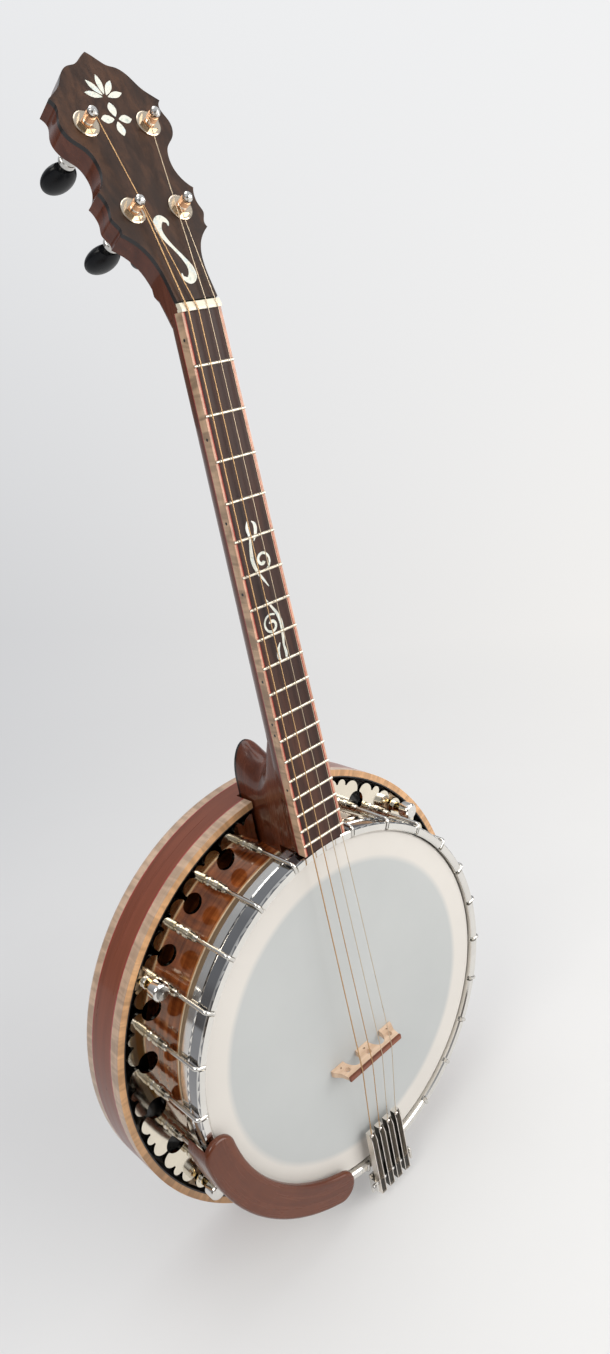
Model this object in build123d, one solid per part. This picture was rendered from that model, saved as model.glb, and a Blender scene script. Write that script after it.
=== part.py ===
from build123d import *
import os
from math import atan, cos, degrees, radians, sin

# ---------------------------------------------------------------- driving dimensions (mm)
# While modelling: X right, Z up the neck, Y from the player's side to the back, y = 0 on the skin,
# and the pot's axis is the Y axis. Everything is moved by -BACK_Y on export, so that the origin is the
# centre of the resonator's flat back.
BACK_Y = 95.0

HEAD_R = 139.7            # 11 inch skin
HOOKS = 24
HOOK_FIRST = 11.29        # degrees from the neck to the first hook
HOOK_STEP = (360 - 2 * HOOK_FIRST) / (HOOKS - 1)
HOOK_R = 149.0            # hook rods' distance from the pot's axis
HOOK_WIRE = 1.6
HOOP_IN, HOOP_OUT = 140.5, 147.0
HOOP_TOP, HOOP_SHOULDER, HOOP_END = -4.0, 9.0, 16.5

RIM_IN, RIM_OUT, RIM_LOW = 121.0, 141.0, 139.5
RIM_SEAT, RIM_LINE, RIM_END = 12.0, 29.0, 72.0
FLANGE_Y, FLANGE_T = 50.0, 3.0
LOBE_R = 160.3

RES_OUT, RES_IN = 175.6, 169.6
RES_FRONT, RES_BIND, RES_WALL_END, RES_PLATE = 50.0, 59.5, 84.5, 91.0

SCALE = 543.7             # string length from nut to bridge
NUT_Z = 507.1
FRETS = 18
BOARD_END = 147.8
BOARD_W_NUT, BOARD_W_END = 29.3, 39.0
BOARD_T, VENEER_T = 7.0, 0.6
SIDE_T = 1.6
BOARD_Y_NUT, BOARD_SLOPE = 11.34, -0.0482

PEG_ANGLE = 22.4          # headstock's backward tilt
PEG_ORIGIN = (0, 11.6, 510.0)
OVERLAY_T, PEG_VENEER_T, PEG_WOOD_T = 2.2, 0.8, 13.0
TUNERS = [(-16.8, 59.7), (-21.4, 113.3), (21.4, 113.3), (16.8, 59.7)]   # on the headstock's face
POST_HOLE = 5.0
POST_R, POST_BORE = 3.1, 3.18        # running fit

STRING_R = [0.46, 0.36, 0.27, 0.26]
NUT_X = [-11.0, -3.7, 3.7, 11.0]
BRIDGE_X = [-16.5, -5.5, 5.5, 16.5]
BRIDGE_Z, BRIDGE_TOP = -38.3, -17.2
TAIL_X = [-14.25, -4.75, 4.75, 14.25]
TAIL_TIP, TAIL_END, TAIL_PIVOT = -107.0, -168.0, -158.0
TAIL_TOP, TAIL_UNDER = -12.6, -6.6

THUMBS = [(HOOK_FIRST + 3 * HOOK_STEP - 4.3, LOBE_R), (HOOK_FIRST + 8 * HOOK_STEP - 4.3, LOBE_R),
          (HOOK_FIRST + 15 * HOOK_STEP + 4.3, LOBE_R), (HOOK_FIRST + 20 * HOOK_STEP, 161.0)]
REST_FROM, REST_TO = 196.0, 268.0
REST_CLAMPS = [HOOK_FIRST + 13.5 * HOOK_STEP, HOOK_FIRST + 16.5 * HOOK_STEP]
ROD_Y = [40.0, 60.0]

HOOK_ANGLES = [HOOK_FIRST + k * HOOK_STEP for k in range(HOOKS)]


# ---------------------------------------------------------------- helpers
def board_y(z):
    """The fingerboard's upper surface."""
    return BOARD_Y_NUT + BOARD_SLOPE * (NUT_Z - z)


def board_w(z):
    return BOARD_W_NUT + (BOARD_W_END - BOARD_W_NUT) * (NUT_Z - z) / (NUT_Z - BOARD_END)


def fret_z(n):
    return NUT_Z - SCALE * (1 - 2 ** (-n / 12))


def prism(plane, sketch, amount):
    """A sketch on a plane, pulled along the plane's normal."""
    return extrude(plane * sketch, amount=amount, dir=plane.z_dir)


def poly(*points):
    """A polygon whose points may run either way round."""
    area = sum(a[0] * b[1] - b[0] * a[1] for a, b in zip(points, points[1:] + points[:1]))
    return Polygon(*(points if area > 0 else points[::-1]), align=None)


def slab(sketch, y0, y1):
    """A sketch drawn in (x, z), as thick as y0 to y1."""
    return prism(Plane(origin=(0, y1, 0), x_dir=(1, 0, 0), z_dir=(0, -1, 0)), sketch, y1 - y0)


def ring(r_in, r_out, y0, y1):
    shape = Circle(r_out) if r_in <= 0 else Circle(r_out) - Circle(r_in)
    return slab(shape, y0, y1)


def turned(points):
    """A closed profile in (radius, y), turned about the pot's axis."""
    return revolve(make_face(Polyline(*points, close=True)), Axis.Y)


def rod(p, q, r):
    """A round bar from p to q."""
    a, b = Vector(*p), Vector(*q)
    return extrude(Plane(origin=a, z_dir=b - a) * Circle(r), amount=(b - a).length)


def lathe(points, place):
    """A closed profile in (radius, height), turned about the local z axis of a plane or location."""
    return place * revolve(Plane.XZ * make_face(Polyline(*points, close=True)), Axis.Z)


def at_angle(deg, r):
    return r * sin(radians(deg)), r * cos(radians(deg))


def around(shape, angles):
    return [Rot(0, a, 0) * shape for a in angles]


def save(name, *shapes):
    solids = [s for shape in shapes for s in shape.solids()]
    moved = [Pos(0, -BACK_Y, 0) * s for s in solids]
    body = moved[0] if len(moved) == 1 else Compound(children=moved)
    body.label = name
    export_step(body, os.path.join("parts", name + ".step"))
    print(name, len(moved))


os.makedirs("parts", exist_ok=True)

# ---------------------------------------------------------------- rim, tone ring, skin
bores = [rod((0, y, -150), (0, y, 150), 3.7) for y in ROD_Y]
rim = turned([(RIM_IN, RIM_SEAT), (133, RIM_SEAT), (133, RIM_LINE), (RIM_OUT, RIM_LINE), (RIM_OUT, FLANGE_Y),
              (RIM_LOW, FLANGE_Y), (RIM_LOW, RIM_END), (RIM_IN, RIM_END)])
for bore in bores:
    rim -= bore
rim_cap = ring(133.2, RIM_OUT, RIM_LINE - 1.4, RIM_LINE)
tone_ring = turned([(128, 3), (134, 0.2), (137.5, 0.2), (139.2, 1.6), (139.2, RIM_SEAT), (125, RIM_SEAT),
                    (125, 8), (128, 8)])
skin_t = 0.3
head = turned([(0, -skin_t), (138.6, -skin_t), (139.9, 0.8), (140.1, 9.2), (141.2, 9.2), (141.2, 9.5),
               (139.8, 9.5), (139.6, 0.9), (138.4, 0), (0, 0)])
flesh_hoop = ring(140.2, 144.6, 9.6, 14.2)

# ---------------------------------------------------------------- tension hoop, hooks, ferrules, nuts
hoop = turned([(HOOP_IN, HOOP_TOP + 1.0), (HOOP_IN + 1, HOOP_TOP), (HOOP_OUT - 1, HOOP_TOP),
               (HOOP_OUT, HOOP_TOP + 1), (HOOP_OUT, -1.9), (HOOP_OUT - 0.7, -1.5), (HOOP_OUT - 0.7, 7.9),
               (HOOP_OUT - 1.2, 8.5), (HOOP_OUT, 9.2), (HOOP_OUT, HOOP_END), (145.0, HOOP_END), (145.0, HOOP_SHOULDER),
               (HOOP_IN, HOOP_SHOULDER)])
notch = Pos(0, HOOP_TOP + 1.1, 144) * Box(3.9, 3.2, 12)
for cut in around(notch, HOOK_ANGLES):
    hoop -= cut

bend = 2.2
top_y = -2.95
hook_path = (Line((0, 63, HOOK_R), (0, top_y + bend, HOOK_R))
             + ThreePointArc((0, top_y + bend, HOOK_R), (0, top_y + bend * 0.293, HOOK_R - bend * 0.293),
                             (0, top_y, HOOK_R - bend))
             + Line((0, top_y, HOOK_R - bend), (0, top_y, HOOP_IN + 1.6)))
hook = sweep(Plane(origin=(0, 63, HOOK_R), z_dir=(0, -1, 0)) * Circle(HOOK_WIRE), path=hook_path)
beads = [(1.75, 0), (3.7, 0), (3.7, 0.7), (2.7, 1.5), (2.6, 4.8), (3.1, 5.4), (3.6, 5.8), (3.6, 6.8), (3.1, 7.2),
         (3.6, 7.6), (3.6, 8.7), (3.1, 9.1), (3.6, 9.5), (3.6, 10.5), (3.1, 11.1), (3.1, 16.8), (2.5, 19.4), (1.75, 19.9)]
along = Location((0, FLANGE_Y - 0.05, HOOK_R), (90, 0, 0))
ferrule = lathe(beads, along)
hexagon = RegularPolygon(3.7, 6, major_radius=True)
nut_y = FLANGE_Y + FLANGE_T + 0.1
nut = extrude(Plane(origin=(0, nut_y + 6, HOOK_R), z_dir=(0, -1, 0)) * (hexagon - Circle(HOOK_WIRE + 0.1)), amount=6)

# ---------------------------------------------------------------- flange
plate = Circle(153) - Circle(RIM_LOW + 0.15)
for a in HOOK_ANGLES:
    fan = poly(at_angle(a - 4.6, 150), at_angle(a - 4.3, 162), at_angle(a, 164), at_angle(a + 4.3, 162),
               at_angle(a + 4.6, 150))
    plate += fan + Pos(*at_angle(a - 4.3, LOBE_R)) * Circle(7.0) + Pos(*at_angle(a + 4.3, LOBE_R)) * Circle(7.0)
    plate += Pos(*at_angle(a, 163.6)) * Circle(4.0)
for a in HOOK_ANGLES:
    plate -= Pos(*at_angle(a + HOOK_STEP / 2, 151.6)) * Circle(8.0)
    plate -= Pos(*at_angle(a, HOOK_R)) * Circle(HOOK_WIRE + 0.15)
for a, r in THUMBS:
    plate -= Pos(*at_angle(a, r)) * Circle(2.75)
plate -= Pos(0, 155) * Rectangle(36.0, 40)
flange = slab(plate, FLANGE_Y, FLANGE_Y + FLANGE_T)

# ---------------------------------------------------------------- coordinator rods and their nuts
rods = [rod((0, ROD_Y[0], -158), (0, ROD_Y[0], 160), 3.5), rod((0, ROD_Y[1], -147), (0, ROD_Y[1], 160), 3.5)]
big_hex = RegularPolygon(6.4, 6, major_radius=True) - Circle(3.6)
rod_nuts = []
for y in ROD_Y:
    for z0 in (RIM_IN - 6.2, -RIM_IN + 0.8):
        rod_nuts.append(extrude(Plane(origin=(0, y, z0), z_dir=(0, 0, 1)) * big_hex, amount=4.6))
rod_nuts.append(extrude(Plane(origin=(0, ROD_Y[1], -146.4), z_dir=(0, 0, 1)) * big_hex, amount=4.6))

# ---------------------------------------------------------------- tailpiece
pin_y = -9.4
strap = Pos(0, 20.5, -151.2) * Box(15, 51, 1.8)
shelf = Pos(0, -4.9, -159.4) * Box(42, 1.4, 18.2)
ears = [Pos(s * 20.2, -8.5, -157.5) * Box(1.6, 7.6, 10) for s in (-1, 1)]
bracket = strap + shelf + ears[0] + ears[1]
bracket -= rod((-30, pin_y, TAIL_PIVOT), (30, pin_y, TAIL_PIVOT), 1.6)
bracket -= rod((0, ROD_Y[0], -160), (0, ROD_Y[0], -140), 3.6)
pivot_rod = rod((-22.5, pin_y, TAIL_PIVOT), (22.5, pin_y, TAIL_PIVOT), 1.5)
tail_nuts = [extrude(Plane(origin=(0, ROD_Y[0], z0), z_dir=(0, 0, 1)) * big_hex, amount=4.4) for z0 in (-156.9, -149.9)]
fingers = []
mid_y, high = (TAIL_TOP + TAIL_UNDER) / 2, TAIL_UNDER - TAIL_TOP
for x in TAIL_X:
    mid_z, long = (TAIL_TIP + TAIL_END) / 2, TAIL_TIP - TAIL_END
    channel = Pos(x, mid_y, mid_z) * Box(5.8, high, long) - Pos(x, mid_y - 1.1, mid_z) * Box(4.5, high, long - 0.01)
    slope_cut = Pos(x, TAIL_TOP - 1.0, TAIL_TIP) * Rot(-12, 0, 0) * Box(8, 5, 30)
    channel -= slope_cut
    post = rod((x, TAIL_UNDER - 0.8, TAIL_TIP - 3.0), (x, TAIL_TOP + 2.6, TAIL_TIP - 3.0), 1.0)
    ball = Pos(x, TAIL_TOP + 2.6, TAIL_TIP - 3.0) * Sphere(1.7)
    boss = Pos(x, pin_y + 0.2, TAIL_PIVOT - 3.7) * Box(4.6, 4.8, 12.4)
    fingers.append(channel + post + ball + boss - rod((x - 5, pin_y, TAIL_PIVOT), (x + 5, pin_y, TAIL_PIVOT), 1.56))

# ---------------------------------------------------------------- armrest and its clamps
wide = [at_angle(REST_FROM + 5 + (REST_TO - REST_FROM - 10) * k / 8, 200) for k in range(9)]
sector = poly((0, 0), *wide) & (Circle(155.0) - Circle(130.0))
for a in (REST_FROM + 5, REST_TO - 5):
    sector += Pos(*at_angle(a, 142.5)) * Circle(12.5)
armrest = slab(sector, -10.2, 12.0)
armrest = fillet(armrest.faces().sort_by(Axis.Y)[0].edges(), 2.6) - ring(0, 151.4, -5.9, 20)
clamp_plate = Pos(0, -5.2, 142.4) * Box(11, 1.3, 13.4)
clamp_leg = Pos(0, 6.2, 148.25) * Box(11, 24.1, 1.5)
clamp_lip = Pos(0, 17.55, 147.3) * Box(11, 1.4, 3.4)
clamp = clamp_plate + clamp_leg + clamp_lip - rod((0, -7, 137.6), (0, 0, 137.6), 1.3)
screw = rod((0, -8.9, 137.6), (0, -4.5, 137.6), 1.2) + rod((0, -4.5, 137.6), (0, -3.3, 137.6), 2.3)
for a in REST_CLAMPS:
    x, z = at_angle(a, 137.6)
    armrest -= rod((x, -9.0, z), (x, 0, z), 1.25)

# ---------------------------------------------------------------- bridge
body_h, cap_h = 14.4, 2.4
beam = poly((-33, 0), (-32.6, -2.2), (-29.2, -8), (-28.2, -body_h), (28.2, -body_h), (29.2, -8), (32.6, -2.2), (33, 0))
for x in (-13.2, 13.2):
    beam -= Pos(x, 0) * Ellipse(6.9, 11.2)
for x in (-23.4, 0, 23.4):
    beam -= Pos(x, -8.6) * Circle(2.3)
for x in (-25.6, 0, 25.6):
    beam -= Pos(x, -3.6) * Circle(0.9)
wedge = poly((-2.6, 0), (2.6, 0), (1.4, body_h), (-1.4, body_h))
bridge = (prism(Plane(origin=(0, -0.35, BRIDGE_Z - 5), z_dir=(0, 0, 1)), beam, 10)
          & prism(Plane(origin=(-40, -0.35, BRIDGE_Z), x_dir=(0, 0, 1), z_dir=(1, 0, 0)), wedge, 80))
bridge_cap = Pos(0, BRIDGE_TOP + cap_h / 2, BRIDGE_Z) * Box(57, cap_h, 3.2)
bridge_cap = fillet(bridge_cap.edges().filter_by(Axis.Z), 0.9)

# ---------------------------------------------------------------- neck
def d_section(z, width, depth):
    """The neck's rounded section below the fingerboard."""
    top = board_y(z) + BOARD_T + VENEER_T
    w, d = width / 2, depth
    side = Spline((w, 0), (w * 0.93, d * 0.42), (w * 0.62, d * 0.83), (0, d), (-w * 0.62, d * 0.83),
                  (-w * 0.93, d * 0.42), (-w, 0))
    return Plane(origin=(0, top, z), x_dir=(1, 0, 0), z_dir=(0, 0, 1)) * make_face(side + Line((-w, 0), (w, 0)))


def side_profile(points, half):
    """A profile in (z, y), as wide as -half to half in x."""
    plane = Plane(origin=(-half, 0, 0), x_dir=(0, 0, 1), z_dir=(1, 0, 0))
    return prism(plane, poly(*[(z, -y) for z, y in points]), 2 * half)


def neck_y(z):
    return board_y(z) + BOARD_T + VENEER_T


shaft = loft([d_section(508, 29.2, 13.5), d_section(360, board_w(360), 15.0), d_section(212, board_w(212), 17.0),
              d_section(149, board_w(149), 17.5)])
peg_face = Plane(origin=PEG_ORIGIN, x_dir=(1, 0, 0),
                 z_dir=(0, -cos(radians(PEG_ANGLE)), sin(radians(PEG_ANGLE))))
half = [Spline((14.6, -1.0), (15.2, 15), (17.0, 29), (21.0, 37.8), (25.2, 42.6), (30.6, 46.8)),
        Spline((30.6, 46.8), (30.0, 50.6), (32.6, 56), (31.4, 61.4), (31.4, 67), (33.4, 72.2)),
        Spline((33.4, 72.2), (28.2, 77.6), (25.4, 84.5), (25.4, 91.5), (28.2, 98.6), (34.4, 104.4), (37.6, 110),
               (37.8, 115.4), (35.2, 122.6), (37.8, 128.8)),
        Spline((37.8, 128.8), (32.6, 132.6), (27.8, 136.8), (24.2, 142.2), (20.4, 146.8), (16, 149.4), (11, 150.6),
               (6.6, 153.6), (0, 158.6))]
right = Curve() + half
outline = make_face(right + mirror(right, Plane.YZ) + Line((-14.6, -1.0), (14.6, -1.0)))


def peg_layer(front, back, start=-1.0):
    """A layer of the headstock between two depths below its face."""
    kept = outline & Pos(0, (start + 170) / 2) * Rectangle(100, 170 - start)
    body = extrude(peg_face * Pos(0, 0, -back) * kept, amount=back - front, dir=peg_face.z_dir)
    for x, z in TUNERS:
        body -= extrude(peg_face * Pos(x, z, -40) * Circle(POST_HOLE), amount=60, dir=peg_face.z_dir)
    return body


wood_from = OVERLAY_T + PEG_VENEER_T
peg_wood = peg_layer(wood_from, wood_from + PEG_WOOD_T)
throat = side_profile([(500, neck_y(500)), (507.2, neck_y(507)), (507.2, 15.0), (512.2, 15.4), (536, 25),
                       (536, 37), (520, 35.8), (508, 32.4), (500, 32.0)], 14.3)
# the throat's back corners round off into the shaft
rounding = loft([d_section(499, 29.25, 13.6), d_section(515, 34, 20), d_section(530, 46, 33), d_section(548, 90, 62)],
                ruled=True)
rounding += side_profile([(499, -5), (548, -5), (548, 22), (499, 19)], 50)
rounding += side_profile([(548, -5), (700, -5), (700, 120), (548, 120)], 50)


def heel_slice(y, width, tip, nose):
    """One level of the heel: square at the rim and rounded towards the nut."""
    w = width / 2
    nose_edge = EllipticalCenterArc((0, tip - nose), w, nose, 0, arc_size=180)
    rest = Polyline((-w, tip - nose), (-w, 130), (w, 130), (w, tip - nose))
    return Plane(origin=(0, y, 0), x_dir=(1, 0, 0), z_dir=(0, -1, 0)) * make_face(nose_edge + rest)


heel = loft([heel_slice(*level) for level in (
    (-4, 34.6, 262, 60), (12, 34.6, 252, 52), (21.6, 34, 238, 42), (25, 33.6, 225, 33), (29, 33, 214, 28),
    (34, 32.2, 207, 26), (40, 31, 204, 25), (47, 29.7, 205, 25), (54, 28.5, 208.8, 26), (60, 27.6, 212.8, 26.5),
    (65.05, 27, 214.8, 26.8))])
neck = shaft + heel + ((throat + peg_wood) & rounding)
neck -= ring(0, RIM_OUT + 0.1, RIM_LINE - 4, 80)
neck -= ring(0, HOOP_OUT + 1.2, -20, RIM_LINE - 3.9)
for y in ROD_Y:
    neck -= rod((0, y, 130), (0, y, 160.2), 3.6)
nut_block = side_profile([(NUT_Z + 0.05, board_y(NUT_Z) - 1.3), (NUT_Z + 1.6, board_y(NUT_Z) - 1.15),
                          (NUT_Z + 5.0, board_y(NUT_Z) + 0.45), (NUT_Z + 5.0, 15.3), (NUT_Z + 0.05, 14.95)], 14.7)
truss = side_profile([(215, neck_y(215) - 0.5), (500, neck_y(500) - 0.5), (500, neck_y(500) + 6),
                      (215, neck_y(215) + 6)], 2.9)
neck -= truss
truss_rod = side_profile([(216, neck_y(216) + 0.1), (499, neck_y(499) + 0.1), (499, neck_y(499) + 5.9),
                          (216, neck_y(216) + 5.9)], 2.8)
cap_shape = slab(Pos(0, 158) * Rectangle(27.0, 60) + Pos(0, 188) * Ellipse(13.5, 26.6), 65.05, 67.2)
heel_cap = cap_shape - ring(0, RIM_OUT + 0.1, 60, 70)


def board_layer(top, depth, inset):
    """A tapered layer of the fingerboard, between two depths below its upper surface."""
    ends = []
    for z in (BOARD_END, NUT_Z):
        w = board_w(z) / 2 - inset
        y = board_y(z) + top
        ends.append(make_face(Polyline((-w, y, z), (w, y, z), (w, y + depth, z), (-w, y + depth, z), close=True)))
    return loft(ends)


neck -= board_layer(-6, BOARD_T + VENEER_T + 6, -6)
neck -= peg_layer(-6, wood_from, start=3.4)
fingerboard = board_layer(0, BOARD_T, SIDE_T)
board_sides = board_layer(0.05, BOARD_T - 0.05, 0) - board_layer(-1, BOARD_T + 2, SIDE_T)
red_line = board_layer(BOARD_T, VENEER_T, 0)

frets = []
for n in range(1, FRETS + 1):
    z, w = fret_z(n), board_w(fret_z(n)) / 2 - 0.15
    crown = poly((-1.1, 0), (-0.75, 0.65), (-0.3, 0.92), (0.3, 0.92), (0.75, 0.65), (1.1, 0))
    place = Location((-w, board_y(z) - 0.01, z)) * Rot(degrees(atan(BOARD_SLOPE)), 0, 0)
    frets.append(place * prism(Plane(origin=(0, 0, 0), x_dir=(0, 0, 1), z_dir=(1, 0, 0)), crown, 2 * w))

dots = []
dot_spots = [(f, 0.0) for f in (1, 3, 5, 7, 10, 15)] + [(12, -4.0), (12, 4.0)]
for f, dz in dot_spots:
    z = (fret_z(f) + fret_z(f - 1)) / 2 + dz
    x = -board_w(z) / 2
    spot = rod((x - 0.05, board_y(z) + 3.4, z), (x + 0.85, board_y(z) + 3.4, z), 1.0)
    board_sides -= spot
    dots.append(spot)

neck -= nut_block
overlay = peg_layer(0, OVERLAY_T, start=3.4)
peg_veneer = peg_layer(OVERLAY_T, wood_from, start=3.4)

# ---------------------------------------------------------------- tuning machines
tuner_places = [Location(peg_face) * Pos(x, z) for x, z in TUNERS]
back_z = -(wood_from + PEG_WOOD_T)
washer = [(4.95, 0.02), (7.9, 0.02), (7.9, 0.9), (7.3, 1.25), (4.95, 1.25)]
collar = Pos(0, 0, 1.3) * extrude(RegularPolygon(5.9, 6, major_radius=True) - Circle(POST_BORE), amount=2.0)
sleeve = [(POST_BORE, back_z - 0.8), (4.85, back_z - 0.8), (4.85, 1.3), (POST_BORE, 1.3)]
post_turn = [(0, back_z - 6.5), (4.6, back_z - 6.5), (4.6, back_z - 3.6), (POST_R, back_z - 3.6), (POST_R, 3.8),
             (2.5, 4.6), (2.4, 7.8), (2.6, 8.6), (3.0, 9.2), (3.15, 10.4), (2.8, 11.6), (1.8, 12.4), (0, 12.7)]
shell = [(POST_BORE, back_z - 0.9), (7.2, back_z - 0.9), (7.2, back_z - 2.2), (6.3, back_z - 2.8), (6.3, back_z - 5.6),
         (5.9, back_z - 6.0), (6.3, back_z - 6.4), (6.3, back_z - 9.4), (5.4, back_z - 10.6), (5.4, back_z - 12.8),
         (5.0, back_z - 13.2), (5.4, back_z - 13.6), (5.4, back_z - 16.4), (4.8, back_z - 17.5), (2.75, back_z - 17.5),
         (2.75, back_z - 12.6), (5.0, back_z - 9.2), (5.0, back_z - 2.6), (POST_BORE, back_z - 2.6)]
stem = [(0, back_z - 8.5), (2.0, back_z - 8.5), (2.0, back_z - 13.0), (2.65, back_z - 13.6), (2.65, back_z - 26),
        (0, back_z - 26)]
knob = (Pos(0, 0, back_z - 31.0) * scale(Sphere(1.0), by=(11.3, 6.2, 13.4))) \
    & Pos(0, 0, back_z - 20.6 - 18) * Box(40, 40, 36)
knob_stem = revolve(Plane.XZ * make_face(Polyline(*stem, close=True)), Axis.Z)
button = knob + knob_stem

# ---------------------------------------------------------------- strings
def string_run(k):
    r = STRING_R[k]
    x, z = TUNERS[k]
    inward = 1 if x < 0 else -1
    hold = 5.0 + 2.0 * (abs(z) > 100)
    local = Location(peg_face) * Pos(x + inward * (POST_R + r + 0.25), z, hold)
    path = [tuple(local.position), (NUT_X[k], board_y(NUT_Z) - 1.6 - r, NUT_Z + 0.7),
            (BRIDGE_X[k], BRIDGE_TOP - r - 0.2, BRIDGE_Z), (TAIL_X[k], TAIL_TOP + 2.6, TAIL_TIP - 3.0 + 1.7 + 0.35)]
    body = rod(path[0], path[1], r)
    for a, b in zip(path[1:], path[2:]):
        body += Pos(*a) * Sphere(r) + rod(a, b, r)
    return body


# ---------------------------------------------------------------- resonator
res_front = ring(RES_IN, RES_OUT, RES_FRONT, RES_BIND)
res_wall = ring(RES_IN + 0.4, RES_OUT, RES_BIND, RES_WALL_END)
res_edge = turned([(RES_IN, RES_WALL_END), (RES_OUT, RES_WALL_END), (RES_OUT, BACK_Y - 3), (RES_OUT - 0.9, BACK_Y - 0.9),
                   (RES_OUT - 3, BACK_Y), (RES_IN, BACK_Y)])
res_plate = ring(0, RES_IN, RES_PLATE, BACK_Y)
heel_gap = slab(Pos(0, 172) * Rectangle(31.4, 30), RES_FRONT - 1, 68.2)
res_front -= heel_gap
res_wall -= heel_gap
lugs, thumbs = [], []
for a, r in THUMBS:
    x, z = at_angle(a, r)
    lug = Rot(0, a, 0) * (Pos(0, 60.0, r + 1.6) * Box(15, 11.4, 13)) & ring(100, RES_IN - 0.02, 50, 70)
    lugs.append(lug - rod((x, 50, z), (x, 70, z), 2.5))
    turn = [(0, -15.6), (2.42, -15.6), (2.42, 0.1), (4.4, 0.1), (4.4, 1.6), (3.9, 2.2), (3.9, 8.4), (5.4, 9.2),
            (6.6, 10.6), (6.6, 18.0), (6.0, 19.0), (5.0, 19.6), (0, 19.8)]
    thumbs.append(lathe(turn, Location((x, FLANGE_Y - 0.1, z), (90, 0, 0))))

# ---------------------------------------------------------------- files
save("rim", rim - rim_cap)
save("rim_cap_line", rim_cap)
save("tone_ring", tone_ring)
save("head", head)
save("flesh_hoop", flesh_hoop)
save("tension_hoop", hoop)
save("bracket_hooks", *around(hook, HOOK_ANGLES))
save("hook_ferrules", *around(ferrule, HOOK_ANGLES))
save("bracket_nuts", *around(nut, HOOK_ANGLES))
save("flange", flange)
save("coordinator_rods", *rods)
save("coordinator_nuts", *rod_nuts, *tail_nuts)
save("tailpiece_bracket", bracket)
save("tailpiece_pivot_rod", pivot_rod)
for k, finger in enumerate(fingers):
    save(f"tailpiece_finger_{k + 1}", finger)
save("armrest", armrest)
save("armrest_clamps", *around(clamp, REST_CLAMPS))
save("armrest_screws", *around(screw, REST_CLAMPS))
save("bridge", bridge)
save("bridge_cap", bridge_cap)
save("neck", neck)
save("heel_cap", heel_cap)
save("truss_rod", truss_rod)
save("fingerboard", fingerboard)
save("fingerboard_sides", board_sides)
save("neck_red_veneer", red_line)
save("frets", *frets)
save("side_dots", *dots)
save("nut", nut_block)
save("headstock_overlay", overlay)
save("headstock_veneer", peg_veneer)
save("tuner_washers", *[lathe(washer, p) for p in tuner_places])
save("tuner_bushings", *[p * collar + lathe(sleeve, p) for p in tuner_places])
save("tuner_housings", *[lathe(shell, p) for p in tuner_places])
for k, place in enumerate(tuner_places):
    save(f"tuner_post_{k + 1}", lathe(post_turn, place))
    save(f"tuner_button_{k + 1}", place * button)
    save(f"string_{k + 1}", string_run(k))
save("resonator_front_binding", res_front)
save("resonator_wall", res_wall)
save("resonator_back_binding", res_edge)
save("resonator_back_plate", res_plate)
save("resonator_lugs", *lugs)
for k, thumb in enumerate(thumbs):
    save(f"thumbscrew_{k + 1}", thumb)
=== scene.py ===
from math import cos, radians, sin, sqrt, tau

import bmesh
import bpy
from mathutils import Matrix, Vector


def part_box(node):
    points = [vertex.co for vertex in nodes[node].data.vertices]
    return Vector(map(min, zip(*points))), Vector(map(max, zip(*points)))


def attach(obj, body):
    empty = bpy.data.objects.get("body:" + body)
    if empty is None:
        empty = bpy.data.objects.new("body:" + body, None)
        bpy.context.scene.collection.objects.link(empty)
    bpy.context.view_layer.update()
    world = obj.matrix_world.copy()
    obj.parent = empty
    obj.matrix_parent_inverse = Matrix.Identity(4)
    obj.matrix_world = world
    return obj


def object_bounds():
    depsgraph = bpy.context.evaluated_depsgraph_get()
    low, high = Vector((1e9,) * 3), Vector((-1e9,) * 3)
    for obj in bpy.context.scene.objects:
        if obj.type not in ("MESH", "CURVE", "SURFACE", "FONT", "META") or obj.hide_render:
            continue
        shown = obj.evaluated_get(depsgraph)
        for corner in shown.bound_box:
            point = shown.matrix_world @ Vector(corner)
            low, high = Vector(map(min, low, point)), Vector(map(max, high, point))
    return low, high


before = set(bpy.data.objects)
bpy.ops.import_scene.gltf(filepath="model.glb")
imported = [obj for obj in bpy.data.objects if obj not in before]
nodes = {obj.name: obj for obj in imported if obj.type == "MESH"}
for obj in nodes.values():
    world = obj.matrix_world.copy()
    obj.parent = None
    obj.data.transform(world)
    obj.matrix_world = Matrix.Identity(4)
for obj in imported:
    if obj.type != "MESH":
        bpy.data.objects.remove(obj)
CAD_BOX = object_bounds()

# ------------------------------------------------------------------ sizes in metres, read from the frame
ROOT = "pot_and_neck"
RIM_TOP_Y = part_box("rim_cap_line")[0].y
RIM_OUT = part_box("rim")[1].x
HOOP_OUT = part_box("tension_hoop")[1].x
FLANGE_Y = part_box("flange")[0].y
RES_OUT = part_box("resonator_wall")[1].x
RES_FRONT_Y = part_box("resonator_front_binding")[0].y
WALL_FRONT_Y, WALL_BACK_Y = (corner.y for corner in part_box("resonator_wall"))
PLATE_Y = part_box("resonator_back_plate")[0].y
NUT_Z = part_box("nut")[0].z
BOARD_END_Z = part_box("fingerboard")[0].z

# ------------------------------------------------------------------ sizes in metres that the frame doesn't give
SKIN_PLANE_Y = -0.095  # heights over the skin are counted from here
TAIL_TOP_Y = -0.0126 + SKIN_PLANE_Y
FINGER_STEP = 0.0095  # from one tailpiece finger's middle to the next
RES_IN = 0.1696  # inner radius of the resonator's wall
PEG_TILT = radians(22.4)
PEG_ORIGIN = Vector((0, 0.0116 + SKIN_PLANE_Y, 0.510))
PEG_BACK = -0.016  # the headstock's rear face, from its front face
STEM_REACH = 0.0203  # from the headstock's rear face to the end of a tuner's metal stem
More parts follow.
